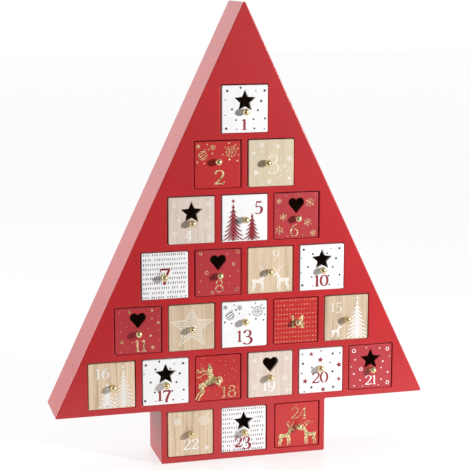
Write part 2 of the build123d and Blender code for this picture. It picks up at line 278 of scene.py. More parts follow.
class Shader(NodeKit):
    """A material with one Principled shader, in the object's own coordinates."""

    def __init__(self, name):
        self.material = bpy.data.materials.new(name)
        super().__init__(self.material)
        self.principled = self.add("BsdfPrincipled")
        self.output = self.add("OutputMaterial", {"Surface": self.principled.outputs["BSDF"]})
        self.place = self.add("TexCoord").outputs["Object"]

    def set(self, **sockets):
        """Feeds sockets of the Principled shader, named with underscores for spaces."""
        for name, value in sockets.items():
            self.feed(self.principled.inputs[name.replace("_", " ")], value)

    def noise(self, scale, detail=2.0, roughness=0.5, distortion=0.0, stretch=None):
        """Smooth noise between nought and one, scaled along each axis where stretch is given."""
        vector = self.place
        if stretch:
            vector = self.add("Mapping", {"Vector": vector, "Scale": stretch}).outputs["Vector"]
        sockets = {"Vector": vector, "Scale": scale, "Detail": detail}
        sockets.update({"Roughness": roughness, "Distortion": distortion})
        return self.add("TexNoise", sockets).outputs["Fac"]

    def cells(self, scale):
        """Small cells, each with its own value."""
        return self.add("TexVoronoi", {"Vector": self.place, "Scale": scale}).outputs["Color"]

    def ramp(self, value, *stops):
        """Colours along a value, as pairs of place and colour."""
        node = self.add("ValToRGB", {"Fac": value})
        elements = node.color_ramp.elements
        while len(elements) < len(stops):
            elements.new(0.5)
        for element, (place, tone) in zip(elements, stops):
            element.position = place
            element.color = (*tone, 1.0)
        return node.outputs["Color"]

    def bump(self, height, strength, distance):
        """Small relief on the surface."""
        sockets = {"Height": height, "Strength": strength, "Distance": distance}
        self.set(Normal=self.add("Bump", sockets).outputs["Normal"])


def shade(tone, factor):
    """A colour made lighter or darker."""
    return tuple(min(1.0, part * factor) for part in tone)


# Materials

# Clouds in a coat: their scale, and the darkest and the lightest shade
SPRAYED_COAT = (14.0, 0.93, 1.06)
FLAT_COAT = (40.0, 0.975, 1.01)
# Scales of the finer patterns, in waves or cells to the metre
LACQUER_PEEL = 420.0
FRONT_PEEL = 600.0
GRAIN_BANDS = 230.0
GRAIN_FIBRES = 800.0
BOARD_FIBRES = 900.0
BOARD_FLUFF = 1500.0
TURNING_MARKS = 500.0
INK_COVER = 1300.0
GLITTER_CLUMPS = 850.0
GLITTER_FLAKES = 2600.0
# How the grain and the turning marks are drawn out
BAND_STRETCH = (1.0, 1.0, 0.045)
FIBRE_STRETCH = (1.0, 1.0, 0.02)
TURNING_STRETCH = (1.0, 14.0, 1.0)
# Where a pattern is at its darkest and at its lightest
DARK_STOP = 0.3
LIGHT_STOP = 0.7
BARE_ROUGHNESS = 0.82
PAINT_ROUGHNESS = 0.5
BRASS_ROUGHNESS = 0.25
STEEL_ROUGHNESS = 0.35
# Thickness of a front board, and the short run to the tray's tone behind it
BOARD_DEPTH = 3.0 * MM
BOARD_EDGE = 0.05 * MM


def uneven(shader, pattern, tone, low, high):
    """A tone that goes from a darker to a lighter shade of itself along a pattern."""
    return shader.ramp(pattern, (DARK_STOP, shade(tone, low)), (LIGHT_STOP, shade(tone, high)))


def coat_tone(shader, tone, coat):
    """Paint or lacquer with the faint clouds of its coat."""
    scale, low, high = coat
    return uneven(shader, shader.noise(scale, detail=3.0), tone, low, high)


def grain_tone(shader, light, dark):
    """Upright wood grain: broad growth bands with fine fibres over them."""
    bands = shader.noise(GRAIN_BANDS, detail=4.0, roughness=0.6, distortion=0.8, stretch=BAND_STRETCH)
    fibres = shader.noise(GRAIN_FIBRES, detail=3.0, roughness=0.65, stretch=FIBRE_STRETCH)
    broad = shader.ramp(bands, (DARK_STOP, dark), (0.5, light), (LIGHT_STOP, shade(light, 1.08)))
    fine = shader.ramp(fibres, (0.34, dark), (0.6, shade(light, 1.04)))
    return shader.mix(shader.between(fibres, 0.3, 0.5), broad, fine), fibres


def board_tone(shader):
    """Fine-grained fibre board, a little darker than bare board as painted shade for the inside seen through
    the cut-outs.
    """
    finish = settings().finish
    fibres = shader.noise(BOARD_FIBRES, detail=4.0, roughness=0.7)
    return shader.ramp(fibres, (DARK_STOP, finish.board_dark), (LIGHT_STOP, finish.board))


def make_lacquer():
    """Satin red lacquer of the case."""
    finish = settings().finish
    shader = Shader("red_lacquer")
    peel = shader.noise(LACQUER_PEEL)
    shader.set(
        Base_Color=coat_tone(shader, finish.red, SPRAYED_COAT),
        Roughness=shader.between(peel, finish.red_gloss - 0.06, finish.red_gloss + 0.06),
        Specular_IOR_Level=finish.red_specular,
        Coat_Weight=finish.coat,
        Coat_Roughness=finish.coat_roughness,
    )
    shader.bump(peel, strength=0.10, distance=0.12 * MM)
    return shader.material


def make_raw_board():
    """Unpainted board inside the case."""
    shader = Shader("raw_board")
    shader.set(Base_Color=board_tone(shader), Roughness=BARE_ROUGHNESS)
    shader.bump(shader.noise(BOARD_FLUFF), strength=0.25, distance=0.1 * MM)
    return shader.material


def set_front(shader, face_y, tone, roughness):
    """Puts a finish on a drawer's front board, and plain board on the tray behind it."""
    seam = face_y + BOARD_DEPTH
    behind = shader.span(shader.axis(shader.place, "Y"), seam - BOARD_EDGE, seam + BOARD_EDGE)
    shader.set(
        Base_Color=shader.mix(behind, tone, board_tone(shader)),
        Roughness=shader.mix_values(behind, roughness, BARE_ROUGHNESS),
    )


def make_painted_front(name, face_y, tone, coat, roughness, gloss):
    """A drawer with a painted or lacquered front."""
    shader = Shader(name)
    peel = shader.noise(FRONT_PEEL, detail=3.0)
    spread = shader.between(peel, roughness - 0.05, roughness + 0.05)
    set_front(shader, face_y, coat_tone(shader, tone, coat), spread)
    shader.set(Coat_Weight=gloss, Coat_Roughness=settings().finish.coat_roughness)
    shader.bump(peel, strength=0.12, distance=0.08 * MM)
    return shader.material


def make_wooden_front(name, face_y, light, dark):
    """A drawer with a bare wooden front, whose grain runs upright."""
    shader = Shader(name)
    grain, fibres = grain_tone(shader, light, dark)
    set_front(shader, face_y, grain, shader.between(fibres, 0.5, 0.66))
    shader.bump(fibres, strength=0.18, distance=0.1 * MM)
    return shader.material


def make_metal(name, tone, roughness):
    """Turned metal with fine turning marks."""
    shader = Shader(name)
    marks = shader.noise(TURNING_MARKS, stretch=TURNING_STRETCH)
    shader.set(
        Base_Color=uneven(shader, marks, tone, 0.94, 1.04),
        Metallic=1.0,
        Roughness=shader.between(marks, roughness - 0.04, roughness + 0.05),
    )
    return shader.material


def make_ink(name, tone, roughness):
    """Screen-printed ink, a little uneven."""
    shader = Shader(name)
    cover = shader.noise(INK_COVER, detail=3.0)
    shader.set(Base_Color=uneven(shader, cover, tone, 0.90, 1.05), Roughness=roughness)
    shader.bump(cover, strength=0.2, distance=0.04 * MM)
    return shader.material


def make_glitter(name, tone):
    """Gold glitter: small flakes in clumps, each flake with its own tone, where the brightest flakes are
    painted glints and the darkest partly painted shade.
    """
    shader = Shader(name)
    flakes = shader.mix(0.45, shader.cells(GLITTER_CLUMPS), shader.cells(GLITTER_FLAKES))
    # Painted glints and shade: the brightest flakes stand for sparkle, and the darkest partly for shade
    tones = shader.ramp(flakes, (0.33, shade(tone, 0.14)), (0.47, tone), (0.72, shade(tone, 1.6)))
    shader.set(Base_Color=tones, Metallic=0.2, Roughness=0.45)
    shader.bump(flakes, strength=0.5, distance=0.05 * MM)
    return shader.material


# Painted shade: in front, the floor that reflections and bounced light meet is painted dark between these two
# distances, standing for the dim room there
FRONT_SHADE_START = 0.13
FRONT_SHADE_FULL = 0.38
# Painted shadow: behind, it turns greyer over this distance, down to this share of the pale floor, standing
# for the tree's shadow there
BACK_SHADE_FADE = 0.06
BACK_SHADE_SHARE = 0.75
FLOOR_ROUGHNESS = 0.2


def make_floor():
    """A floor that is partly white by itself and partly lit, so that it keeps the object's shadow; in
    reflections and bounced light it carries painted shade, dark in front and greyer behind.
    """
    stage = settings().stage
    shader = Shader("floor_white")
    depth = shader.axis(shader.place, "Y")
    rays = shader.add("LightPath").outputs
    seen = rays["Is Camera Ray"]
    # Painted shade: near is one by the object and nought far in front, where the floor is painted dark
    near = shader.span(depth, -FRONT_SHADE_FULL, -FRONT_SHADE_START)
    # Painted shadow and shade: the share of the pale floor colour left after the floor is painted dark in
    # front and greyer behind
    unshaded = shader.math("MINIMUM", near, shader.span(depth, BACK_SHADE_FADE, 0.0, BACK_SHADE_SHARE))
    pale = shader.math("MAXIMUM", unshaded, seen)
    shader.set(
        Base_Color=shader.mix(pale, stage.dark_colour, stage.floor_colour),
        Roughness=FLOOR_ROUGHNESS,
    )
    gloss = shader.math("MAXIMUM", rays["Is Glossy Ray"], rays["Is Transmission Ray"])
    before = shader.math("MINIMUM", near, shader.span(depth, 0.0, FRONT_Y))
    white = shader.math("MAXIMUM", seen, shader.math("MULTIPLY", gloss, before))
    glow = shader.add("Emission", {"Strength": stage.floor_glow})
    sockets = {
        0: shader.math("MULTIPLY", white, stage.floor_white),
        1: shader.principled.outputs["BSDF"],
        2: glow.outputs["Emission"],
    }
    blend = shader.add("MixShader", sockets)
    shader.feed(shader.output.inputs["Surface"], blend.outputs["Shader"])
    return shader.material


def wear(node, material):
    """Gives a piece of the frame its material."""
    mesh = frame["nodes"][node].data
    mesh.materials.clear()
    mesh.materials.append(material)


# Prints: flat shapes in millimetres from the middle of a front, x to the right and z up

# Half the width of a front that takes ink
FACE_HALF = 20.7
# The star cut-out, and the larger star that stays free of ink, as shares of the cut-out's radius
STAR_RADIUS = 10.4
STAR_HEIGHT = 7.0
STAR_TIPS_CLEAR = 1.18
STAR_WAIST_CLEAR = 0.54
# The circle that stays free of ink round a heart cut-out
HEART_CENTRE = (0.0, 9.3)
HEART_REACH = 7.6
# How many heights the shapes of one ink take in turn, and the step between them
LAYERS = 16
LAYER_STEP = 0.003 * MM
# Points along a curve's span, an ellipse, a ring and a dot
CURVE_STEPS = 7
ELLIPSE_STEPS = 28
RING_STEPS = 20
DOT_STEPS = 16
# A snowflake's twigs: where they leave the arm, their length, their lean and their width
TWIG_ROOT = 0.5
TWIG_LENGTH = 0.36
TWIG_LEAN = pi / 3.4
TWIG_WIDTH = 0.85

# Numerals on a height of one: curves pass through their points, lines are straight, and rings are
# given by their middle and their two radii. The last number is the pen's pressure.
NUMERALS = {
    "0": (("ring", (0.31, 0.5), (0.25, 0.48), 1.0),),
    "1": (
        ("line", ((0.26, 0.02), (0.26, 0.97)), 1.0),
        ("line", ((0.25, 0.97), (0.07, 0.84)), 0.7),
        ("line", ((0.07, 0.02), (0.45, 0.02)), 1.2),
    ),
    "2": (
        ("curve", ((0.08, 0.74), (0.14, 0.91), (0.31, 0.98), (0.48, 0.9), (0.53, 0.73), (0.44, 0.5),
                   (0.25, 0.25), (0.05, 0.04)), 0.9),
        ("line", ((0.04, 0.04), (0.53, 0.04)), 2.2),
        ("line", ((0.52, 0.04), (0.58, 0.19)), 0.5),
    ),
    "3": (
        ("curve", ((0.08, 0.8), (0.17, 0.94), (0.32, 0.98), (0.46, 0.88), (0.46, 0.69), (0.36, 0.57),
                   (0.2, 0.53)), 0.9),
        ("curve", ((0.2, 0.53), (0.4, 0.5), (0.53, 0.36), (0.5, 0.16), (0.36, 0.03), (0.18, 0.02),
                   (0.05, 0.12)), 1.0),
    ),
    "4": (
        ("line", ((0.41, 0.97), (0.03, 0.3)), 0.45),
        ("line", ((0.03, 0.3), (0.6, 0.3)), 1.3),
        ("line", ((0.42, 0.97), (0.42, 0.02)), 1.0),
        ("line", ((0.27, 0.02), (0.57, 0.02)), 1.2),
    ),
    "5": (
        ("line", ((0.15, 0.95), (0.51, 0.95)), 2.2),
        ("line", ((0.16, 0.96), (0.12, 0.55)), 0.4),
        ("curve", ((0.12, 0.55), (0.28, 0.61), (0.46, 0.54), (0.53, 0.34), (0.45, 0.12), (0.27, 0.02),
                   (0.06, 0.08)), 1.0),
    ),
    "6": (
        ("curve", ((0.52, 0.97), (0.32, 0.88), (0.16, 0.66), (0.1, 0.4), (0.13, 0.2)), 0.9),
        ("ring", (0.32, 0.31), (0.215, 0.29), 0.95),
    ),
    "7": (
        ("line", ((0.05, 0.95), (0.55, 0.95)), 2.2),
        ("line", ((0.06, 0.95), (0.05, 0.79)), 0.4),
        ("curve", ((0.54, 0.95), (0.4, 0.62), (0.29, 0.3), (0.25, 0.02)), 0.9),
    ),
    "8": (
        ("ring", (0.3, 0.75), (0.175, 0.225), 0.85),
        ("ring", (0.3, 0.27), (0.225, 0.26), 1.0),
    ),
    "9": (
        ("curve", ((0.1, 0.03), (0.3, 0.12), (0.46, 0.34), (0.52, 0.6), (0.49, 0.8)), 0.9),
        ("ring", (0.3, 0.69), (0.215, 0.29), 0.95),
    ),
}
# How much each numeral is widened
NUMERAL_WIDTH = {
    "0": 1.26, "1": 1.05, "2": 1.28, "3": 1.14, "4": 1.08,
    "5": 1.18, "6": 1.3, "7": 1.12, "8": 1.3, "9": 1.25,
}
# How far a numeral hangs below the line beside others
NUMERAL_DROP = {"3": 0.26, "4": 0.1, "5": 0.16, "7": 0.22, "9": 0.16}
# From one numeral to the next, as a share of the height, and the same after a 1
NUMERAL_STEP = 0.61
NARROW_STEP = 0.52
# The broad pen, as shares of a numeral's height, and how fast it thins as a stroke turns level
THICK_PEN = 0.15
THIN_PEN = 0.045
PEN_TURN = 1.5


def smooth(t, p, q, r, s):
    """A value on the smooth curve from q to r, where p comes before them and s after."""
    square = 2 * p - 5 * q + 4 * r - s
    cube = 3 * q - p - 3 * r + s
    return 0.5 * (2 * q + (r - p) * t + square * t**2 + cube * t**3)


def curve_through(points, steps=CURVE_STEPS, closed=False):
    """Points along a smooth curve that passes through the given ones."""
    count = len(points)
    found = []
    for span in range(count if closed else count - 1):
        if closed:
            near = [points[(span + shift) % count] for shift in (-1, 0, 1, 2)]
        else:
            near = [points[min(max(span + shift, 0), count - 1)] for shift in (-1, 0, 1, 2)]
        for i in range(steps):
            found.append(tuple(smooth(i / steps, *along) for along in zip(*near)))
    if not closed:
        found.append(points[-1])
    return found


def ellipse(centre, radii, steps=ELLIPSE_STEPS):
    """Points round an ellipse."""
    turns = [2 * pi * i / steps for i in range(steps)]
    return [(centre[0] + radii[0] * cos(a), centre[1] + radii[1] * sin(a)) for a in turns]


def star_outline(centre, outer, inner, turn=0.0):
    """Corners of a five-pointed star."""
    corners = []
    for i in range(10):
        reach = outer if i % 2 == 0 else inner
        way = pi / 2 + turn + i * pi / 5
        corners.append((centre[0] + reach * cos(way), centre[1] + reach * sin(way)))
    return corners


def inside(point, outline):
    """Whether a point lies inside an outline."""
    x, z = point
    odd = False
    for (x0, z0), (x1, z1) in zip(outline, outline[1:] + outline[:1]):
        if (z0 > z) != (z1 > z) and x < (x1 - x0) * (z - z0) / (z1 - z0) + x0:
            odd = not odd
    return odd


class Print:
    """The ink of one colour on one drawer front, collected as closed thin slabs."""

    def __init__(self, day, ink):
        self.day = day
        self.ink = ink
        self.centre = face_centre(day)
        self.form = bmesh.new()
        self.shapes = 0
        self.cut = []
        if day in STAR_DAYS:
            tips, waist = STAR_RADIUS * STAR_TIPS_CLEAR, STAR_RADIUS * STAR_WAIST_CLEAR
            self.cut = star_outline((0.0, STAR_HEIGHT), tips, waist)
        if day in HEART_DAYS:
            self.cut = ellipse(HEART_CENTRE, (HEART_REACH, HEART_REACH))

    def clear(self, *points):
        """Whether all points lie on the front and off its cut-out."""
        on_front = all(max(abs(x), abs(z)) < FACE_HALF for x, z in points)
        return on_front and not any(inside(point, self.cut) for point in points)

    def corner(self, point, lift):
        """A vertex of the ink at a point of the front."""
        x, z = point
        return self.form.verts.new((self.centre.x + x * MM, self.centre.y - lift, self.centre.z + z * MM))

    def layers(self, points):
        """Upper and lower vertices of a row of points. Shapes that cross lie a hair above one another."""
        ink = settings().ink
        lift = ink.thickness + LAYER_STEP * (self.shapes % LAYERS)
        return [self.corner(p, lift) for p in points], [self.corner(p, -ink.sink) for p in points]

    def patch(self, outline):
        """A filled shape."""
        self.shapes += 1
        top, under = self.layers(outline)
        self.form.faces.new(top)
        self.form.faces.new(under[::-1])
        for i in range(len(outline)):
            j = (i + 1) % len(outline)
            self.form.faces.new((top[i], under[i], under[j], top[j]))

    def stroke(self, line, width_of, closed=False):
        """A pen stroke along a line, whose width follows its direction."""
        left, right = [], []
        count = len(line)
        for i, (x, z) in enumerate(line):
            before = line[(i - 1) % count] if closed else line[max(i - 1, 0)]
            after = line[(i + 1) % count] if closed else line[min(i + 1, count - 1)]
            dx, dz = after[0] - before[0], after[1] - before[1]
            run = hypot(dx, dz) or 1.0
            half = width_of(dz / run, i / max(count - 1, 1)) / 2
            left.append((x - dz / run * half, z + dx / run * half))
            right.append((x + dz / run * half, z - dx / run * half))
        self.shapes += 1
        left_top, left_under = self.layers(left)
        right_top, right_under = self.layers(right)
        face = self.form.faces.new
        for i in range(count if closed else count - 1):
            j = (i + 1) % count
            face((left_top[i], left_top[j], right_top[j], right_top[i]))
            face((left_under[i], right_under[i], right_under[j], left_under[j]))
            face((left_top[i], left_under[i], left_under[j], left_top[j]))
            face((right_top[i], right_top[j], right_under[j], right_under[i]))
        if not closed:
            face((left_top[0], right_top[0], right_under[0], left_under[0]))
            face((left_top[-1], left_under[-1], right_under[-1], right_top[-1]))

    def thread(self, line, width, closed=False):
        """A stroke of even width."""
        self.stroke(line, lambda rise, t: width, closed)

    def tapered(self, line, start, end):
        """A stroke whose width runs from start to end."""
        self.stroke(line, lambda rise, t: start + (end - start) * t)

    def dot(self, x, z, radius):
        """A round dot, where it has room."""
        outline = ellipse((x, z), (radius, radius), DOT_STEPS)
        if self.clear(*outline[::DOT_STEPS // 4]):
            self.patch(outline)

    def dots(self, radius, *places):
        """Dots of one size."""
        for x, z in places:
            self.dot(x, z, radius)

    def ring(self, x, z, radius, width):
        """A thin ring, where it has room."""
        outline = ellipse((x, z), (radius, radius), RING_STEPS)
        if self.clear(*outline[::RING_STEPS // 4]):
            self.thread(outline, width, True)

    def rings(self, width, *places):
        """Rings of one width."""
        for x, z, radius in places:
            self.ring(x, z, radius, width)

    def star(self, x, z, radius, turn=0.0, waist=0.42):
        """A filled five-pointed star."""
        self.patch(star_outline((x, z), radius, radius * waist, turn))

    def stars(self, *places):
        """Stars, each with its own size and turn."""
        for place in places:
            self.star(*place)

    def snowflake(self, x, z, radius, width):
        """Six arms, each with a pair of twigs."""
        for arm in range(6):
            way = pi / 2 + arm * pi / 3
            along = (cos(way), sin(way))
            self.thread([(x, z), (x + radius * along[0], z + radius * along[1])], width)
            foot = (x + radius * TWIG_ROOT * along[0], z + radius * TWIG_ROOT * along[1])
            for side in (-1, 1):
                lean = way + side * TWIG_LEAN
                tip = (foot[0] + radius * TWIG_LENGTH * cos(lean), foot[1] + radius * TWIG_LENGTH * sin(lean))
                self.thread([foot, tip], width * TWIG_WIDTH)

    def snowflakes(self, width, *places):
        """Snowflakes of one stroke width."""
        for x, z, radius in places:
            self.snowflake(x, z, radius, width)

    def numeral(self, sign, x, z, height, weight):
        """One numeral, drawn with a broad pen: upright strokes thick and level ones thin."""

        def place(points):
            return [(x + px * height * NUMERAL_WIDTH[sign], z + pz * height) for px, pz in points]

        for kind, *form, pressure in NUMERALS[sign]:
            press = pressure * height * weight

            def pen(rise, t):
                return press * (THIN_PEN + (THICK_PEN - THIN_PEN) * abs(rise) ** PEN_TURN)

            if kind == "ring":
                self.stroke(place(ellipse(*form)), pen, True)
            elif kind == "curve":
                self.stroke(place(curve_through(*form)), pen)
            else:
                self.stroke(place(*form), pen)

    def number(self, text, x, z, height, weight):
        """A number centred on a point."""
        heights = [height * (1 + NUMERAL_DROP.get(sign, 0) * (len(text) > 1)) for sign in text]
        steps = [NARROW_STEP if sign == "1" else NUMERAL_STEP for sign in text]
        widths = [step * NUMERAL_WIDTH[sign] * tall for step, sign, tall in zip(steps, text, heights)]
        at = x - sum(widths) / 2
        for sign, width, tall in zip(text, widths, heights):
            self.numeral(sign, at, z + height / 2 - tall, tall, weight)
            at += width

    def piece(self, material):
        """Makes the finished ink a piece that moves with its drawer."""
        bmesh.ops.recalc_face_normals(self.form, faces=self.form.faces)
        mesh = bpy.data.meshes.new(f"print_{self.day:02d}_{self.ink}")
        self.form.to_mesh(mesh)
        self.form.free()
        mesh.materials.append(material)
        piece = bpy.data.objects.new(mesh.name, mesh)
        bpy.context.scene.collection.objects.link(piece)
        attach(piece, drawer_body(self.day))


class Front:
    """A day's drawer front and the sheets of ink that are printed on it."""

    def __init__(self, day):
        self.day = day
        self.sheets = {}

    def ink(self, name):
        """The sheet of one colour, made at its first use."""
        if name not in self.sheets:
            self.sheets[name] = Print(self.day, name)
        return self.sheets[name]


# Ornaments made of several strokes

# A fir: the foot of the print, the place of the topmost bough, where the fir reaches its full width,
# how it widens, and how much of its height has boughs
FIR_FOOT = -20.6
FIRST_BOUGH = 0.7
FIR_SHOULDER = 0.72
FIR_SPREAD = 0.85
FIR_LENGTH = 0.93
# A bough's way out of the trunk and down, as shares of its reach
BOUGH_SWEEP = ((0.0, 0.0), (0.5, 0.62), (1.0, 0.9))
BOUGH_STEPS = 6
# The line under a bough, as shares of the bough's reach and of its own width
SHADOW_REACH = 0.94
SHADOW_END = 0.6
FORM_STEPS = 4


def boughs(x, tip, half, tiers, drop=0.0, reach_share=1.0):
    """Boughs from the top down, each sweeping down and out from the trunk and cut off at the foot."""
    for tier in range(tiers):
        t = (tier + FIRST_BOUGH) / tiers
        reach = half * min(1.0, t / FIR_SHOULDER) ** FIR_SPREAD * reach_share
        root = tip - (tip - FIR_FOOT) * t * FIR_LENGTH - drop
        for side in (-1, 1):
            sweep = [(x + side * out * reach, root - down * reach) for out, down in BOUGH_SWEEP]
            yield [point for point in curve_through(sweep, BOUGH_STEPS) if point[1] > FIR_FOOT]


def fir(sheet, x, tip, half, tiers, thick, thin):
    """A fir of sweeping boughs, thick at the trunk and thin at their ends."""
    sheet.tapered([(x, tip), (x, FIR_FOOT)], thin, thick)
    for line in boughs(x, tip, half, tiers):
        if len(line) > 1:
            sheet.tapered(line, thick, thin)


def fir_shadow(sheet, x, tip, half, tiers, drop, width):
    """The fine dark line under every bough of a fir."""
    for line in boughs(x, tip, half, tiers, drop, SHADOW_REACH):
        if len(line) > 3:
            sheet.tapered(line[2:], width, width * SHADOW_END)


# A reindeer that faces right, with its hooves at nought: its body, its legs and its antlers
STANDING = (
    (
        (0.67, 0.5), (0.58, 0.41), (0.42, 0.42), (0.28, 0.44), (0.17, 0.42), (0.1, 0.5), (0.13, 0.6),
        (0.28, 0.6), (0.48, 0.6), (0.58, 0.72), (0.64, 0.86), (0.7, 0.9), (0.77, 0.87), (0.88, 0.79),
        (0.9, 0.75), (0.85, 0.73), (0.76, 0.75), (0.72, 0.7), (0.7, 0.6),
    ),
    (
        ((0.17, 0.48), (0.19, 0.31), (0.12, 0.21), (0.13, 0.0)),
        ((0.23, 0.46), (0.27, 0.29), (0.2, 0.19), (0.22, 0.0)),
        ((0.56, 0.46), (0.57, 0.23), (0.55, 0.0)),
        ((0.63, 0.48), (0.67, 0.25), (0.65, 0.0)),
    ),
    (
        ((0.68, 0.88), (0.59, 0.97), (0.55, 1.1), (0.61, 1.24)),
        ((0.58, 1.0), (0.67, 1.08), (0.67, 1.15)),
        ((0.55, 1.1), (0.47, 1.16), (0.46, 1.23)),
        ((0.72, 0.89), (0.76, 1.0), (0.84, 1.06), (0.83, 1.18)),
    ),
)
# The same animal in a leap, with its head thrown up
LEAPING = (
    (
        (0.02, 0.5), (-0.02, 0.36), (0.12, 0.33), (0.32, 0.42), (0.56, 0.52), (0.72, 0.66), (0.64, 0.78),
        (0.55, 0.9), (0.54, 1.06), (0.48, 1.22), (0.42, 1.29), (0.37, 1.22), (0.36, 1.08), (0.31, 0.96),
        (0.36, 0.8), (0.34, 0.68), (0.2, 0.58),
    ),
    (
        ((0.06, 0.44), (0.09, 0.22), (-0.05, 0.06), (-0.14, -0.12)),
        ((0.13, 0.4), (0.19, 0.18), (0.06, 0.02), (-0.02, -0.14)),
        ((0.64, 0.6), (0.83, 0.74), (0.92, 0.6), (0.88, 0.5)),
        ((0.6, 0.55), (0.76, 0.5), (0.84, 0.44), (0.8, 0.36)),
    ),
    (
        ((0.34, 1.0), (0.18, 1.02), (0.04, 0.96), (-0.12, 0.98)),
        ((0.2, 1.02), (0.14, 1.12), (0.06, 1.15)),
        ((0.06, 0.96), (-0.02, 1.06), (-0.1, 1.08)),
        ((0.33, 0.92), (0.18, 0.88), (0.06, 0.78), (-0.06, 0.78)),
    ),
)
DEER_MIDDLE = 0.42
RIGHT = 1
LEFT = -1
# Widths of legs and antlers at their root and at their end, as shares of the animal's size
LEG_WIDTHS = (0.1, 0.035)
ANTLER_WIDTHS = (0.042, 0.022)


def deer(sheet, x, z, size, facing, animal=STANDING):
    """A plain reindeer in silhouette. The point is under its middle."""

    def place(points):
        return [(x + facing * (px - DEER_MIDDLE) * size, z + pz * size) for px, pz in points]

    body, legs, antlers = animal
    sheet.patch(place(curve_through(body, FORM_STEPS, True)))
    for lines, (root, end) in ((legs, LEG_WIDTHS), (antlers, ANTLER_WIDTHS)):
        for line in lines:
            sheet.tapered(place(curve_through(line, FORM_STEPS)), size * root, size * end)


def striped_bauble(sheet, x, z, radius):
    """A small ball with slanting stripes, under a cap."""
    sheet.ring(x, z, radius, 0.36)
    for offset in (-0.5, 0.0, 0.5):
        half = radius * (1 - offset**2) ** 0.5 * 0.92
        middle = offset * radius
        stripe = [
            (x - half * 0.8 + middle * 0.6, z - half * 0.45 - middle * 0.8),
            (x + middle * 0.75, z - middle),
            (x + half * 0.8 + middle * 0.6, z + half * 0.6 - middle * 0.8),
        ]
        sheet.thread(curve_through(stripe, FORM_STEPS), radius * 0.2)
    sheet.ring(x + radius * 0.4, z + radius * 1.2, radius * 0.22, 0.34)


# A bauble's hook, in radii from its middle
HOOK = ((0.5, 0.9), (0.75, 1.25), (1.0, 1.3), (0.9, 1.55))


def fancy_bauble(sheet, x, z, radius):
    """A ball of rings and petals that hangs from a small hook."""
    sheet.rings(0.4, (x, z, radius), (x, z, radius * 0.4))
    for petal in range(8):
        way = petal * pi / 4
        sheet.dot(x + radius * 0.72 * cos(way), z + radius * 0.72 * sin(way), radius * 0.11)
    sheet.dot(x, z, radius * 0.14)
    hook = [(x + radius * across, z + radius * up) for across, up in HOOK]
    sheet.thread(curve_through(hook, FORM_STEPS), 0.45)


SNOW_REACH = 20.3


def snowfall(front, ink, count, small, large):
    """Dots of snow, scattered over a front."""
    dice = Random(front.day)
    for _ in range(count):
        x, z = dice.uniform(-SNOW_REACH, SNOW_REACH), dice.uniform(-SNOW_REACH, SNOW_REACH)
        front.ink(ink).dot(x, z, dice.uniform(small, large))


# The ornament of each day

# Rows of ticks or dots
ROW_COUNT = 10
ROW_PITCH = 4.35
ROWS = [(row - (ROW_COUNT - 1) / 2) * ROW_PITCH for row in range(ROW_COUNT)]
TICK_INKS = ("grey", "grey", "grey", "red")
TICK_HEIGHT = 2.2
SHORTEST_TICK = 0.6
TICK_WIDTH = 0.7
TICK_PITCH = (1.8, 2.3)
TICK_MARGIN = 1.2
TICK_WOBBLE = 0.15
TICKS_KEPT = 0.95
DOT_COLUMNS = 7
DOT_PITCH = 2.8
ROW_DOT = 0.44
# The large star: its middle, its outline, and the lattice of dots in it
BIG_STAR = (0.2, 0.0)
BIG_STAR_RADIUS = 20.6
BIG_STAR_WAIST = 0.43
BIG_STAR_PITCH = 2.3
BIG_STAR_ROW = 0.87
BIG_STAR_DOT = 0.7


def knitting(front):
    """Rows of small upright ticks, uneven as if drawn by hand."""
    dice = Random(front.day)
    for z in ROWS:
        x = -FACE_HALF + TICK_MARGIN
        while x < FACE_HALF - TICK_MARGIN:
            tall = TICK_HEIGHT * dice.uniform(SHORTEST_TICK, 1.0)
            lift = dice.uniform(-TICK_WOBBLE, TICK_WOBBLE)
            top = (x + dice.uniform(-TICK_WOBBLE, TICK_WOBBLE), z + lift + tall / 2)
            ends = [(x, z + lift - tall / 2), top]
            sheet = front.ink(dice.choice(TICK_INKS))
            if dice.random() < TICKS_KEPT and sheet.clear(*ends):
                sheet.thread(ends, TICK_WIDTH)
            x += dice.uniform(*TICK_PITCH)


def dotted_rows(front):
    """Even rows of small dots."""
    for z in ROWS:
        for column in range(-DOT_COLUMNS, DOT_COLUMNS + 1):
            front.ink("gold").dot(column * DOT_PITCH, z, ROW_DOT)


def dotted_star(front):
    """A large star of fine dots inside a thin outline."""
    sheet = front.ink("pale")
    x, z = BIG_STAR
    outline = star_outline(BIG_STAR, BIG_STAR_RADIUS, BIG_STAR_RADIUS * BIG_STAR_WAIST)
    sheet.thread(outline, BIG_STAR_DOT, True)
    steps = int(BIG_STAR_RADIUS / BIG_STAR_PITCH) + 1
    for row in range(-steps, steps + 1):
        for column in range(-steps, steps + 1):
            shift = column + 0.5 * (row % 2)
            spot = (x + shift * BIG_STAR_PITCH, z + row * BIG_STAR_PITCH * BIG_STAR_ROW)
            if inside(spot, outline):
                sheet.dot(*spot, BIG_STAR_DOT)


def falling_snow(front, across, up):
    """Dots of snow round a star cut-out."""
    for radius, places in (
        (1.1, ((-16.4, 16.5), (18.3, 16.1), (15.1, 6.8), (-17.4, -17.2))),
        (0.95, ((-3.9, 19.1), (-7.5, 12.0), (-12.0, 0.0), (12.0, -1.3), (18.7, -9.0))),
        (0.85, ((6.4, 11.9), (-8.4, -9.8), (8.0, -9.4), (8.8, -17.7))),
        (0.55, ((10.1, 16.1), (-18.1, 8.4), (-18.3, -5.2), (-7.7, -18.1), (18.1, -18.4))),
    ):
        front.ink("grey").dots(radius, *((x + across, z + up) for x, z in places))


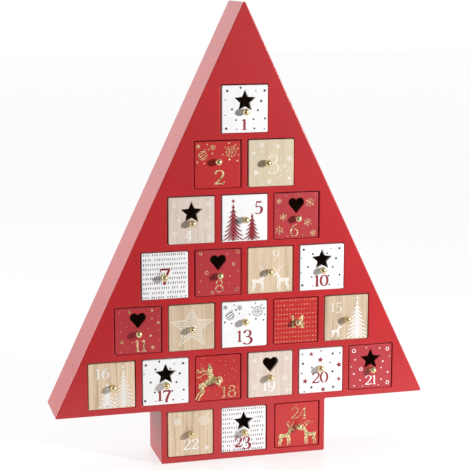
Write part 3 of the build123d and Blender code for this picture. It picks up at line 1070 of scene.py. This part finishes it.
def baubles(front, ink):
    """Two baubles, snowflakes and dots above a number."""
    sheet = front.ink(ink)
    striped_bauble(sheet, -13.7, 8.6, 3.9)
    fancy_bauble(sheet, 12.5, 11.4, 4.6)
    sheet.snowflake(-4.5, 15.8, 2.7, 0.36)
    sheet.snowflake(-18.0, 16.8, 2.2, 0.34)
    sheet.dots(0.85, (-18.6, 2.9), (18.4, 3.0), (11.0, 4.4), (18.6, 14.2), (-8.2, 14.0))
    sheet.dots(0.65, (-12.2, 1.5), (5.0, 9.0), (7.2, 15.6), (-9.6, 18.6), (10.6, 19.2), (-4.8, 10.4),
               (19.2, 8.2))


def winter_sky(front):
    """Stars, snowflakes and dots, scattered round a large number."""
    sheet = front.ink("pale")
    sheet.stars((-14.2, -8.4, 3.3, 0.2), (6.6, 15.0, 2.3, -0.2), (17.0, -14.5, 2.2, 0.1),
                (-16.4, 9.6, 2.0, 0.3), (12.5, -3.5, 1.7, 0.0))
    sheet.snowflakes(0.5, (-9.0, 17.0, 3.0), (17.0, 3.6, 2.6), (-2.0, -17.0, 2.6))
    snowfall(front, "pale", 34, 0.28, 0.6)


def snowy_wood(front):
    """Snowflakes and a dusting of snow round a cut-out."""
    front.ink("pale").snowflakes(
        0.42, (14.2, -4.2, 3.4), (-15.6, -11.4, 3.0), (16.6, -16.2, 2.4), (-15.5, 14.0, 2.4),
        (15.8, 14.6, 2.6), (-12.2, 0.4, 1.8),
    )
    snowfall(front, "pale", 60, 0.25, 0.55)


def red_firs(front):
    """Two red firs with shadows under their boughs, and a star."""
    red = front.ink("red")
    for x, tip, half, tiers in ((-10.8, 13.4, 9.8, 10), (6.9, 4.2, 7.6, 8)):
        fir(red, x, tip, half, tiers, thick=1.8, thin=0.7)
        fir_shadow(front.ink("grey"), x, tip, half, tiers, drop=1.3, width=0.3)
    red.star(-10.9, 16.0, 2.2)


def gold_flakes(front):
    """Gold snowflakes round a heart cut-out."""
    sheet = front.ink("gold")
    sheet.snowflakes(
        0.4, (-16.5, 13.8, 2.6), (13.2, 11.8, 4.8), (-12.4, -0.8, 3.7), (11.2, -6.4, 4.2),
        (-16.0, -13.2, 4.5), (16.4, -17.0, 3.2),
    )
    sheet.dots(0.45, (-10.0, 18.8), (2.5, 19.0), (18.6, 18.8), (-18.8, 5.0), (18.8, 3.0), (-7.4, -7.5),
               (5.5, -12.0), (-8.0, -19.0), (19.0, -9.0), (6.5, -18.5))


def gold_rings(front):
    """Thin rings and dots round a heart cut-out."""
    sheet = front.ink("gold")
    sheet.rings(0.42, (-16.4, 18.4, 1.2), (18.5, 18.8, 1.6), (14.6, 7.4, 1.3), (-10.6, 0.4, 1.5),
                (17.8, -16.4, 1.5), (-5.6, -18.2, 1.2))
    sheet.dots(0.5, (-16.2, -7.0), (11.0, -3.6), (9.0, 17.0), (-16.8, 8.6), (18.8, 0.4), (-9.8, -10.4),
               (10.4, -10.2), (-17.8, -16.8), (-6.0, 18.6))


def facing_deer(front, ink, ground, *animals):
    """Reindeer on one ground, given by their place, their size and the way they face."""
    for x, size, facing in animals:
        deer(front.ink(ink), x, ground, size, facing)


def small_stars(front):
    """Small stars and dots round a heart cut-out."""
    sheet = front.ink("gold")
    for x, z, radius in ((-14.9, -9.6, 2.3), (13.2, -16.2, 2.4), (18.6, 6.6, 2.0), (11.6, -5.2, 1.8),
                         (13.2, 18.2, 1.6), (-7.8, 17.9, 1.8), (12.9, 10.7, 1.3)):
        sheet.star(x, z, radius, 0.1 * x, 0.34)
    sheet.dots(0.42, (-17.4, 17.6), (-16.4, 8.4), (-15.8, 0.2), (-5.0, -10.6), (-16.6, -18.8),
               (18.8, -10.0), (-10.5, 4.0), (18.8, -0.5), (9.0, 1.5), (-9.5, -15.5), (19.0, 13.0),
               (-19.0, -3.5), (3.5, 19.2))


def fir_and_deer(front):
    """A snowy fir with a star, and a small reindeer beside it."""
    white = front.ink("white")
    fir(white, 10.6, tip=16.0, half=9.8, tiers=11, thick=1.25, thin=0.8)
    white.star(10.7, 18.4, 1.4)
    deer(front.ink("pale"), -10.4, -19.0, 13.0, RIGHT)


def snowy_firs(front):
    """A tall snowy fir with a star, and a smaller one."""
    white = front.ink("white")
    fir(white, 11.0, tip=14.2, half=9.6, tiers=11, thick=1.1, thin=0.75)
    white.star(10.6, 17.2, 1.6)
    fir(white, -4.2, tip=3.6, half=8.4, tiers=8, thick=1.5, thin=0.9)


def leaping_deer(front):
    """A reindeer in a leap, in falling snow."""
    deer(front.ink("gold"), -8.2, -17.0, 24.0, RIGHT, LEAPING)
    snowfall(front, "gold", 60, 0.2, 0.36)


def red_stars(front):
    """Stars and dots scattered round a number."""
    front.ink("red").stars(
        (-9.6, 16.5, 2.64, 0.1), (-0.5, 10.4, 3.24, -0.15), (17.9, 4.5, 3.24, 0.3),
        (-15.4, -9.4, 3.0, -0.2), (17.9, -9.4, 2.52, 0.25), (2.5, -18.6, 2.88, 0.1),
    )
    grey = front.ink("grey")
    grey.dots(1.15, (11.6, 15.7), (-17.7, 7.8), (11.6, -1.7), (12.4, -16.9), (-9.1, -15.7))
    grey.dots(0.8, (-8.8, 3.6), (-18.8, -1.6), (0.2, 19.0), (18.6, 15.8), (-18.4, 17.0), (-16.2, -19.6),
              (8.8, 7.2))


def white_rings(front):
    """Bold rings and dots round a star cut-out."""
    sheet = front.ink("white")
    sheet.rings(0.62, (-16.6, 16.4, 1.6), (17.0, 16.2, 1.5), (-9.4, -2.0, 1.4), (17.6, -16.8, 1.5))
    sheet.dots(0.85, (12.6, 4.2), (-16.5, -6.2), (17.6, -6.6))
    sheet.dots(0.68, (9.2, 17.4), (-15.4, 7.6), (11.0, -1.8), (-10.0, -12.8), (11.2, -13.2), (-15.8, -17.8))
    sheet.dots(0.5, (-4.2, 18.8), (19.0, 9.0), (-19.0, 1.0), (8.6, -18.8), (-7.6, -18.6))


def bauble_in_snow(front):
    """A bauble, two snowflakes and a dusting of snow above a number."""
    sheet = front.ink("white")
    fancy_bauble(sheet, 12.6, 11.6, 4.2)
    sheet.snowflakes(0.42, (-12.4, 12.0, 3.8), (15.5, -15.0, 2.2))
    snowfall(front, "white", 36, 0.25, 0.55)


def meeting_deer(front):
    """Two reindeer head to head, with a few dots between their antlers and above."""
    facing_deer(front, "gold", -20.0, (-11.6, 19.5, RIGHT), (13.0, 19.0, LEFT))
    front.ink("gold").dots(0.4, (15.2, 1.6), (17.6, 1.8), (12.8, 0.9), (14.4, -0.7), (17.0, -0.4),
                           (-0.8, 19.4), (8.0, 18.6))


# What is drawn on each front before its number, with the values it takes
ORNAMENTS = {
    1: (falling_snow, 0.0, 0.0),
    2: (baubles, "gold"),
    3: (winter_sky,),
    4: (snowy_wood,),
    5: (red_firs,),
    6: (gold_flakes,),
    7: (knitting,),
    8: (gold_rings,),
    9: (facing_deer, "pale", -19.6, (-11.4, 19.5, RIGHT), (12.0, 19.5, LEFT)),
    10: (falling_snow, -1.5, 1.0),
    11: (small_stars,),
    12: (dotted_star,),
    13: (baubles, "grey"),
    14: (dotted_rows,),
    15: (fir_and_deer,),
    16: (snowy_firs,),
    17: (falling_snow, -1.9, 0.6),
    18: (leaping_deer,),
    19: (snowy_wood,),
    20: (red_stars,),
    21: (white_rings,),
    22: (bauble_in_snow,),
    23: (knitting,),
    24: (meeting_deer,),
}
# Each number's ink, place, height and weight
NUMBERS = {
    1: ("red", -0.4, -13.8, 9.8, 1.45),
    2: ("gold", 1.6, -11.4, 12.8, 1.1),
    3: ("pale", 2.1, -1.1, 17.4, 0.6),
    4: ("white", -2.9, -13.6, 9.4, 1.0),
    5: ("red", 13.0, 9.1, 11.6, 1.35),
    6: ("gold", -2.0, -13.4, 11.8, 0.6),
    7: ("red", 0.2, -1.0, 15.2, 1.15),
    8: ("gold", 1.2, -12.4, 11.6, 0.6),
    9: ("pale", 5.5, 14.2, 8.8, 1.0),
    10: ("red", -0.7, -12.7, 10.4, 1.45),
    11: ("gold", 2.4, -14.0, 11.0, 0.9),
    12: ("white", 0.2, -1.4, 6.6, 1.0),
    13: ("red", 0.2, -11.0, 10.8, 1.2),
    14: ("gold", 1.6, -0.4, 11.6, 1.1),
    15: ("pale", -10.0, 10.6, 8.4, 0.85),
    16: ("white", -8.4, 12.4, 9.8, 1.0),
    17: ("red", -1.4, -12.6, 9.6, 1.4),
    18: ("gold", 10.2, -13.6, 11.2, 0.75),
    19: ("white", -1.1, -11.0, 9.2, 1.1),
    20: ("red", -0.9, -6.6, 10.4, 1.25),
    21: ("white", 0.8, -13.2, 9.0, 1.0),
    22: ("white", 0.4, -10.3, 9.8, 1.05),
    23: ("red", -0.9, -12.4, 9.6, 1.3),
    24: ("gold", 2.1, 11.6, 10.4, 0.75),
}


# Operators


class ADVENT_OT_case(bpy.types.Operator):
    """Finish the case: lacquer outside, raw board inside and steel brads at the back"""

    bl_idname = "advent.case"
    bl_label = "Finish Case"

    def execute(self, context):
        lacquer = make_lacquer()
        raw = make_raw_board()
        for node in CASE_NODES:
            wear(node, lacquer)
        for node in INNER_NODES:
            wear(node, raw)
        wear("back_pins", make_metal("brad_steel", settings().finish.steel, STEEL_ROUGHNESS))
        return {"FINISHED"}


def front_kind(day):
    """The finish of a day's front."""
    if day in CREAM_DAYS:
        return "cream_wood"
    if day in WASHED_DAYS:
        return "washed_wood"
    kind = NODE_SLOTS[drawer_node(day)]
    if kind == "red_paint" and day in STAR_DAYS + HEART_DAYS:
        return "berry_paint"
    return kind


class ADVENT_OT_drawers(bpy.types.Operator):
    """Finish the drawers: white, red or wooden fronts on plain trays"""

    bl_idname = "advent.drawers"
    bl_label = "Finish Drawers"

    def execute(self, context):
        finish = settings().finish
        paints = {
            "white_paint": (finish.white, FLAT_COAT, PAINT_ROUGHNESS, 0.0),
            "red_paint": (finish.red_front, SPRAYED_COAT, finish.red_gloss, finish.front_coat),
            "berry_paint": (finish.berry, SPRAYED_COAT, finish.red_gloss, finish.front_coat),
        }
        woods = {
            "natural_wood": (finish.wood, finish.wood_dark),
            "cream_wood": (finish.cream, finish.cream_dark),
            "washed_wood": (finish.washed, finish.washed_dark),
        }
        made = {}
        for day in DAYS:
            node = drawer_node(day)
            kind = front_kind(day)
            # The wood's factors, partly painted shade and painted light that even out the key lamp
            shades = WOOD_TONE_AND_PAINTED_LIGHT.get(day, PLAIN_SHADES)
            face_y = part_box(node)[0].y
            key = (kind, shades, round(face_y / MM, 2))
            name = f"drawer_{kind}_{len(made)}"
            if key not in made and kind in paints:
                made[key] = make_painted_front(name, face_y, *paints[kind])
            elif key not in made:
                tones = [shade(tone, factor) for tone, factor in zip(woods[kind], shades)]
                made[key] = make_wooden_front(name, face_y, *tones)
            wear(node, made[key])
        return {"FINISHED"}


class ADVENT_OT_knobs(bpy.types.Operator):
    """Finish the turned brass knobs"""

    bl_idname = "advent.knobs"
    bl_label = "Finish Knobs"

    def execute(self, context):
        brass = make_metal("knob_brass", settings().finish.brass, BRASS_ROUGHNESS)
        for day in DAYS:
            wear(f"knob_{day:02d}", brass)
        return {"FINISHED"}


class ADVENT_OT_prints(bpy.types.Operator):
    """Print the numbers and the winter ornaments on the fronts"""

    bl_idname = "advent.prints"
    bl_label = "Print Fronts"

    def execute(self, context):
        ink = settings().ink
        inks = {
            "red": make_ink("ink_red", ink.red, roughness=0.5),
            "grey": make_ink("ink_grey", ink.grey, roughness=0.55),
            "white": make_ink("ink_white", ink.white, roughness=0.55),
            "pale": make_ink("ink_pale", ink.pale, roughness=0.6),
            "gold": make_glitter("ink_gold", ink.gold),
        }
        for day in DAYS:
            front = Front(day)
            draw, *values = ORNAMENTS[day]
            draw(front, *values)
            name, *place = NUMBERS[day]
            front.ink(name).number(str(day), *place)
            for name, sheet in front.sheets.items():
                sheet.piece(inks[name])
        return {"FINISHED"}


# How far the dim room and the backdrop reach into each other at the sides
ROOM_TURN = 0.35
WHITE = (1.0, 1.0, 1.0)


def aim(item, target, distance, yaw, rise):
    """Puts a lamp or camera in front of a target, turned to the right and raised, and points it there."""
    bpy.context.scene.collection.objects.link(item)
    back = Vector((sin(yaw) * cos(rise), -cos(yaw) * cos(rise), sin(rise)))
    item.location = target + back * distance
    item.rotation_mode = "QUATERNION"
    item.rotation_quaternion = (-back).to_track_quat("-Z", "Y")


class ADVENT_OT_stage(bpy.types.Operator):
    """Set the floor, the lamps and the camera"""

    bl_idname = "advent.stage"
    bl_label = "Set Stage"

    def execute(self, context):
        stage = settings().stage
        self.floor(stage)
        self.world(stage)
        self.lamp(stage, "key")
        self.lamp(stage, "fill")
        self.camera(stage)
        context.scene.view_settings.view_transform = "Standard"
        return {"FINISHED"}

    def floor(self, stage):
        """A square white floor."""
        mesh = bpy.data.meshes.new("floor")
        half = stage.floor_size / 2
        corners = [(-half, -half, 0.0), (half, -half, 0.0), (half, half, 0.0), (-half, half, 0.0)]
        mesh.from_pydata(corners, [], [(0, 1, 2, 3)])
        mesh.materials.append(make_floor())
        floor = bpy.data.objects.new("floor", mesh)
        bpy.context.scene.collection.objects.link(floor)

    def world(self, stage):
        """A white backdrop and a dim room in front, with plain white for the camera."""
        world = bpy.data.worlds.new("surroundings")
        bpy.context.scene.world = world
        kit = NodeKit(world)
        way = kit.add("TexCoord").outputs["Generated"]
        room = kit.span(kit.axis(way, "Y"), -ROOM_TURN, ROOM_TURN, stage.front_light, stage.back_light)
        seen = kit.add("LightPath").outputs["Is Camera Ray"]
        backdrop = kit.add("Background", {"Color": WHITE, "Strength": kit.mix_values(seen, room, 1.0)})
        kit.add("OutputWorld", {"Surface": backdrop.outputs["Background"]})

    def lamp(self, stage, name):
        """A square lamp that looks at the middle of the tree."""
        watts, side, distance, yaw, rise = (
            getattr(stage, f"{name}_{part}") for part in ("power", "size", "distance", "yaw", "rise")
        )
        data = bpy.data.lights.new(name, "AREA")
        data.energy = watts
        data.size = side
        lamp = bpy.data.objects.new(name, data)
        aim(lamp, Vector((0.0, FRONT_Y, stage.target_z)), distance, yaw, rise)

    def camera(self, stage):
        """The photograph's view."""
        data = bpy.data.cameras.new("camera")
        data.lens = stage.lens
        camera = bpy.data.objects.new("camera", data)
        aim(camera, Vector((stage.target_x, FRONT_Y, stage.target_z)), stage.distance, stage.yaw, stage.rise)
        bpy.context.scene.camera = camera


class ADVENT_PT_panel(bpy.types.Panel):
    """Settings and steps of the calendar"""

    bl_idname = "ADVENT_PT_panel"
    bl_label = "Advent Calendar"
    bl_space_type = "VIEW_3D"
    bl_region_type = "UI"
    bl_category = "Advent"

    def draw(self, context):
        layout = self.layout
        for group in (settings().finish, settings().ink, settings().stage):
            column = layout.column(align=True)
            for name in group.__annotations__:
                column.prop(group, name)
        for step in STEPS:
            layout.operator(step.bl_idname)


STEPS = (ADVENT_OT_case, ADVENT_OT_drawers, ADVENT_OT_knobs, ADVENT_OT_prints, ADVENT_OT_stage)
CLASSES = (AdventFinish, AdventPrint, AdventStage, AdventSettings, *STEPS, ADVENT_PT_panel)


def register():
    """Adds the settings, the steps and the panel to Blender."""
    for item in CLASSES:
        bpy.utils.register_class(item)
    bpy.types.Scene.advent_calendar = PointerProperty(type=AdventSettings)


def unregister():
    """Takes them out again."""
    del bpy.types.Scene.advent_calendar
    for item in reversed(CLASSES):
        bpy.utils.unregister_class(item)


def main():
    """Runs every step in order."""
    register()
    bpy.ops.advent.case()
    bpy.ops.advent.drawers()
    bpy.ops.advent.knobs()
    bpy.ops.advent.prints()
    bpy.ops.advent.stage()


if __name__ == "__main__":
    main()
